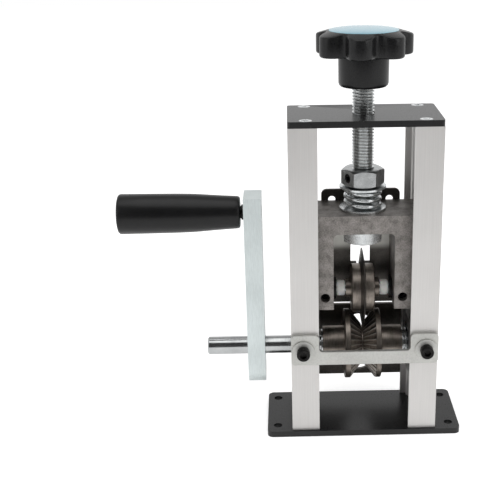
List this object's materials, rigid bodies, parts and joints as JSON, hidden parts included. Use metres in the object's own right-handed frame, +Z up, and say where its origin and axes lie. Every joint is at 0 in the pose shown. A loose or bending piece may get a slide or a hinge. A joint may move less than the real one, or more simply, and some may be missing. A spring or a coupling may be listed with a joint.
{
  "type": "hand crank wire stripper",
  "caption": "Bench-top hand crank wire stripper: a grooved feed roller on a cranked shaft under a sprung slitting blade that a star knob lowers on a pressure screw.",
  "frame": {"origin": "centre of the base plate's underside", "axes": "+Z up, +X along the crank shaft away from the crank, +Y along the wire from the front to the back"},
  "size_m": [0.2206, 0.0664, 0.2638],
  "materials": {
    "black_coated_steel": "satin",
    "post_aluminium": "anodised satin",
    "block_aluminium": "milled",
    "zinc_plated_steel": "bright zinc",
    "black_oxide_steel": "black oxide",
    "ground_steel": "ground",
    "bearing_steel": "polished",
    "hardened_steel": "turned, heat-darkened",
    "cast_slider": "cast and milled",
    "white_nylon": "moulded",
    "black_plastic": "moulded satin",
    "cap_plastic": "smooth"
  },
  "bodies": {
    "frame": {"base_plate": "black_coated_steel", "base_plate_screws": "zinc_plated_steel", "left_post": "post_aluminium", "right_post": "post_aluminium", "top_plate": "black_coated_steel", "top_plate_screws": "zinc_plated_steel", "front_tie_bracket": "zinc_plated_steel", "front_tie_washers": "zinc_plated_steel", "front_tie_screws": "black_oxide_steel", "rear_tie_plate": "black_coated_steel", "rear_tie_screws": "black_oxide_steel", "left_bearing_block": "block_aluminium", "right_bearing_block": "block_aluminium", "left_bearing_outer_ring": "bearing_steel", "right_bearing_outer_ring": "bearing_steel", "left_bearing_balls": "bearing_steel", "right_bearing_balls": "bearing_steel"},
    "drive": {"drive_shaft": "ground_steel", "feed_roller": "hardened_steel", "left_sleeve": "hardened_steel", "right_sleeve": "hardened_steel", "sleeve_grub_screws": "black_oxide_steel", "thrust_washers": "zinc_plated_steel", "shaft_retaining_ring": "black_oxide_steel", "left_bearing_inner_ring": "bearing_steel", "right_bearing_inner_ring": "bearing_steel", "crank_arm": "zinc_plated_steel", "crank_arm_grub_screw": "black_oxide_steel", "handle_spindle": "black_oxide_steel"},
    "grip": {"hand_grip": "black_plastic"},
    "lift": {"upper_spring_washer": "zinc_plated_steel", "pressure_spring": "zinc_plated_steel"},
    "screw": {"pressure_screw": "zinc_plated_steel", "lock_nut": "zinc_plated_steel", "lock_nut_grub_screw": "black_oxide_steel", "star_knob": "black_plastic", "knob_insert": "zinc_plated_steel", "knob_cap": "cap_plastic"},
    "slider": {"slider_block": "cast_slider", "lower_spring_washer": "zinc_plated_steel", "guide_plate": "black_coated_steel", "guide_plate_screws": "black_oxide_steel", "blade_axle": "ground_steel", "axle_grub_screws": "black_oxide_steel", "axle_spacers": "white_nylon", "axle_washers": "black_oxide_steel"},
    "blade": {"blade_disc": "ground_steel", "left_collar": "hardened_steel", "right_collar": "hardened_steel", "blade_bush": "hardened_steel", "collar_screws": "black_oxide_steel"}
  },
  "joints": [
    {"name": "crank_turn", "type": "hinge", "parent": "frame", "child": "drive", "pos_m": [0, 0, 0.055], "axis": [1, 0, 0], "continuous": true},
    {"name": "grip_turn", "type": "hinge", "parent": "drive", "child": "grip", "pos_m": [-0.1175, 0, 0.1485], "axis": [1, 0, 0], "continuous": true},
    {"name": "lift", "type": "slide", "parent": "frame", "child": "lift", "axis": [0, 0, 1], "range_m": [-0.0006, 0.03]},
    {"name": "knob_turn", "type": "hinge", "parent": "lift", "child": "screw", "pos_m": [0, 0, 0.2], "axis": [0, 0, 1], "range_deg": [-109, 5410]},
    {"name": "float", "type": "slide", "parent": "lift", "child": "slider", "axis": [0, 0, 1], "range_m": [0, 0.0032], "stiffness_N_per_m": 3000, "springref_m": -0.003, "deforming": ["pressure_spring"]},
    {"name": "blade_turn", "type": "hinge", "parent": "slider", "child": "blade", "pos_m": [0, 0, 0.0952], "axis": [1, 0, 0], "continuous": true}
  ],
  "couplings": [
    {"joint": "knob_turn", "follows": "lift", "rad_per_m": 3141.6}
  ]
}
